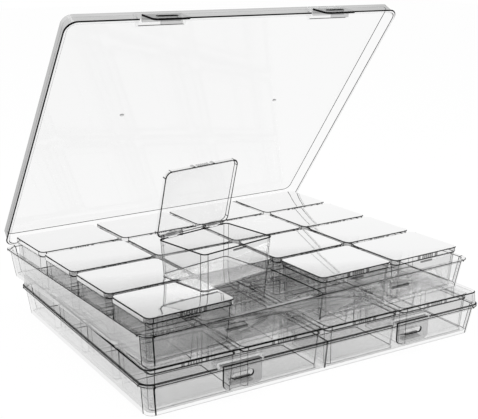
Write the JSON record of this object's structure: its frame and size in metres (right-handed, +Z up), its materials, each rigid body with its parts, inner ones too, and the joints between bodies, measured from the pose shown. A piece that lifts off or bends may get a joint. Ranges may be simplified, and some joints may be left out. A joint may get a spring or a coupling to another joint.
{
  "type": "bead storage box",
  "caption": "Two stacked clear latching cases of small lidded boxes for beads, the upper one open with a box lifted out.",
  "frame": {"origin": "centre of the lower case's flat base", "axes": "+X runs along the front, left to right; -Y is the front; +Z is up"},
  "size_m": [0.3114, 0.2504, 0.2527],
  "materials": {
    "case_plastic": "polished moulded clear polystyrene",
    "box_plastic": "polished moulded clear polystyrene",
    "latch_plastic": "moulded clear polypropylene"
  },
  "bodies": {
    "lower_case": {"lower_tray": "case_plastic", "lower_lid": "case_plastic", "lower_cups_row_1": "box_plastic", "lower_box_lids_row_1": "box_plastic", "lower_cups_row_2": "box_plastic", "lower_box_lids_row_2": "box_plastic", "lower_cups_row_3": "box_plastic", "lower_box_lids_row_3": "box_plastic", "lower_cups_row_4": "box_plastic", "lower_box_lids_row_4": "box_plastic"},
    "lower_latch_left": {"lower_latch_left": "latch_plastic"},
    "lower_latch_right": {"lower_latch_right": "latch_plastic"},
    "upper_case": {"upper_tray": "case_plastic", "cup_1_1": "box_plastic", "box_lid_1_1": "box_plastic", "cup_1_2": "box_plastic", "box_lid_1_2": "box_plastic", "cup_2_2": "box_plastic", "box_lid_2_2": "box_plastic", "cup_1_4": "box_plastic", "cup_2_4": "box_plastic", "cup_3_4": "box_plastic", "cup_4_4": "box_plastic"},
    "upper_lid": {"upper_lid": "case_plastic"},
    "upper_latch_left": {"upper_latch_left": "latch_plastic"},
    "upper_latch_right": {"upper_latch_right": "latch_plastic"},
    "popped_cup": {"popped_cup": "box_plastic"},
    "popped_box_lid": {"popped_box_lid": "box_plastic"},
    "cup_3_1": {"cup_3_1": "box_plastic"},
    "cup_4_1": {"cup_4_1": "box_plastic"},
    "cup_3_2": {"cup_3_2": "box_plastic"},
    "cup_4_2": {"cup_4_2": "box_plastic"},
    "cup_1_3": {"cup_1_3": "box_plastic"},
    "cup_2_3": {"cup_2_3": "box_plastic"},
    "cup_3_3": {"cup_3_3": "box_plastic"},
    "cup_4_3": {"cup_4_3": "box_plastic"},
    "box_lid_3_1": {"box_lid_3_1": "box_plastic"},
    "box_lid_4_1": {"box_lid_4_1": "box_plastic"},
    "box_lid_3_2": {"box_lid_3_2": "box_plastic"},
    "box_lid_4_2": {"box_lid_4_2": "box_plastic"},
    "box_lid_1_3": {"box_lid_1_3": "box_plastic"},
    "box_lid_2_3": {"box_lid_2_3": "box_plastic"},
    "box_lid_3_3": {"box_lid_3_3": "box_plastic"},
    "box_lid_4_3": {"box_lid_4_3": "box_plastic"},
    "box_lid_1_4": {"box_lid_1_4": "box_plastic"},
    "box_lid_2_4": {"box_lid_2_4": "box_plastic"},
    "box_lid_3_4": {"box_lid_3_4": "box_plastic"},
    "box_lid_4_4": {"box_lid_4_4": "box_plastic"}
  },
  "joints": [
    {"name": "lower_latch_left_turn", "type": "hinge", "parent": "lower_case", "child": "lower_latch_left", "pos_m": [-0.08183, -0.10917, 0.0255], "axis": [-0.9986, 0.0523, 0], "range_deg": [0, 60]},
    {"name": "lower_latch_right_turn", "type": "hinge", "parent": "lower_case", "child": "lower_latch_right", "pos_m": [0.06997, -0.11712, 0.0255], "axis": [-0.9986, 0.0523, 0], "range_deg": [0, 60]},
    {"name": "upper_case_lift", "type": "slide", "parent": "lower_case", "child": "upper_case", "axis": [0, 0, 1], "range_m": [0, 0.06]},
    {"name": "upper_lid_hinge", "type": "hinge", "parent": "upper_case", "child": "upper_lid", "pos_m": [-0.006, 0.1217, 0.0614], "axis": [-1, 0, 0], "range_deg": [-25, 60]},
    {"name": "upper_latch_left_turn", "type": "hinge", "parent": "upper_lid", "child": "upper_latch_left", "pos_m": [-0.082, -0.00953, 0.2476], "axis": [-1, 0, 0], "range_deg": [-28, 32]},
    {"name": "upper_latch_right_turn", "type": "hinge", "parent": "upper_lid", "child": "upper_latch_right", "pos_m": [0.07, -0.00953, 0.2476], "axis": [-1, 0, 0], "range_deg": [-28, 32]},
    {"name": "popped_cup_lift", "type": "slide", "parent": "upper_case", "child": "popped_cup", "axis": [0, 0, 1], "range_m": [0, 0.08]},
    {"name": "popped_box_lid_hinge", "type": "hinge", "parent": "popped_cup", "child": "popped_box_lid", "pos_m": [-0.06698, -0.02584, 0.0968], "axis": [-0.9877, -0.1564, 0], "range_deg": [-77, 18]},
    {"name": "cup_3_1_lift", "type": "slide", "parent": "upper_case", "child": "cup_3_1", "axis": [0, 0, 1], "range_m": [0, 0.04]},
    {"name": "cup_4_1_lift", "type": "slide", "parent": "upper_case", "child": "cup_4_1", "axis": [0, 0, 1], "range_m": [0, 0.04]},
    {"name": "cup_3_2_lift", "type": "slide", "parent": "upper_case", "child": "cup_3_2", "axis": [0, 0, 1], "range_m": [0, 0.04]},
    {"name": "cup_4_2_lift", "type": "slide", "parent": "upper_case", "child": "cup_4_2", "axis": [0, 0, 1], "range_m": [0, 0.04]},
    {"name": "cup_1_3_lift", "type": "slide", "parent": "upper_case", "child": "cup_1_3", "axis": [0, 0, 1], "range_m": [0, 0.04]},
    {"name": "cup_2_3_lift", "type": "slide", "parent": "upper_case", "child": "cup_2_3", "axis": [0, 0, 1], "range_m": [0, 0.04]},
    {"name": "cup_3_3_lift", "type": "slide", "parent": "upper_case", "child": "cup_3_3", "axis": [0, 0, 1], "range_m": [0, 0.04]},
    {"name": "cup_4_3_lift", "type": "slide", "parent": "upper_case", "child": "cup_4_3", "axis": [0, 0, 1], "range_m": [0, 0.04]},
    {"name": "box_lid_3_1_hinge", "type": "hinge", "parent": "cup_3_1", "child": "box_lid_3_1", "pos_m": [0.03, -0.05, 0.0654], "axis": [-1, 0, 0], "range_deg": [0, 95]},
    {"name": "box_lid_4_1_hinge", "type": "hinge", "parent": "cup_4_1", "child": "box_lid_4_1", "pos_m": [0.102, -0.05, 0.0654], "axis": [-1, 0, 0], "range_deg": [0, 95]},
    {"name": "box_lid_3_2_hinge", "type": "hinge", "parent": "cup_3_2", "child": "box_lid_3_2", "pos_m": [0.03, 0.005, 0.0654], "axis": [-1, 0, 0], "range_deg": [0, 95]},
    {"name": "box_lid_4_2_hinge", "type": "hinge", "parent": "cup_4_2", "child": "box_lid_4_2", "pos_m": [0.102, 0.005, 0.0654], "axis": [-1, 0, 0], "range_deg": [0, 95]},
    {"name": "box_lid_1_3_hinge", "type": "hinge", "parent": "cup_1_3", "child": "box_lid_1_3", "pos_m": [-0.114, 0.06, 0.0654], "axis": [-1, 0, 0], "range_deg": [0, 95]},
    {"name": "box_lid_2_3_hinge", "type": "hinge", "parent": "cup_2_3", "child": "box_lid_2_3", "pos_m": [-0.042, 0.06, 0.0654], "axis": [-1, 0, 0], "range_deg": [0, 95]},
    {"name": "box_lid_3_3_hinge", "type": "hinge", "parent": "cup_3_3", "child": "box_lid_3_3", "pos_m": [0.03, 0.06, 0.0654], "axis": [-1, 0, 0], "range_deg": [0, 95]},
    {"name": "box_lid_4_3_hinge", "type": "hinge", "parent": "cup_4_3", "child": "box_lid_4_3", "pos_m": [0.102, 0.06, 0.0654], "axis": [-1, 0, 0], "range_deg": [0, 95]},
    {"name": "box_lid_1_4_hinge", "type": "hinge", "parent": "upper_case", "child": "box_lid_1_4", "pos_m": [-0.114, 0.115, 0.0654], "axis": [-1, 0, 0], "range_deg": [0, 45]},
    {"name": "box_lid_2_4_hinge", "type": "hinge", "parent": "upper_case", "child": "box_lid_2_4", "pos_m": [-0.042, 0.115, 0.0654], "axis": [-1, 0, 0], "range_deg": [0, 45]},
    {"name": "box_lid_3_4_hinge", "type": "hinge", "parent": "upper_case", "child": "box_lid_3_4", "pos_m": [0.03, 0.115, 0.0654], "axis": [-1, 0, 0], "range_deg": [0, 45]},
    {"name": "box_lid_4_4_hinge", "type": "hinge", "parent": "upper_case", "child": "box_lid_4_4", "pos_m": [0.102, 0.115, 0.0654], "axis": [-1, 0, 0], "range_deg": [0, 45]}
  ]
}
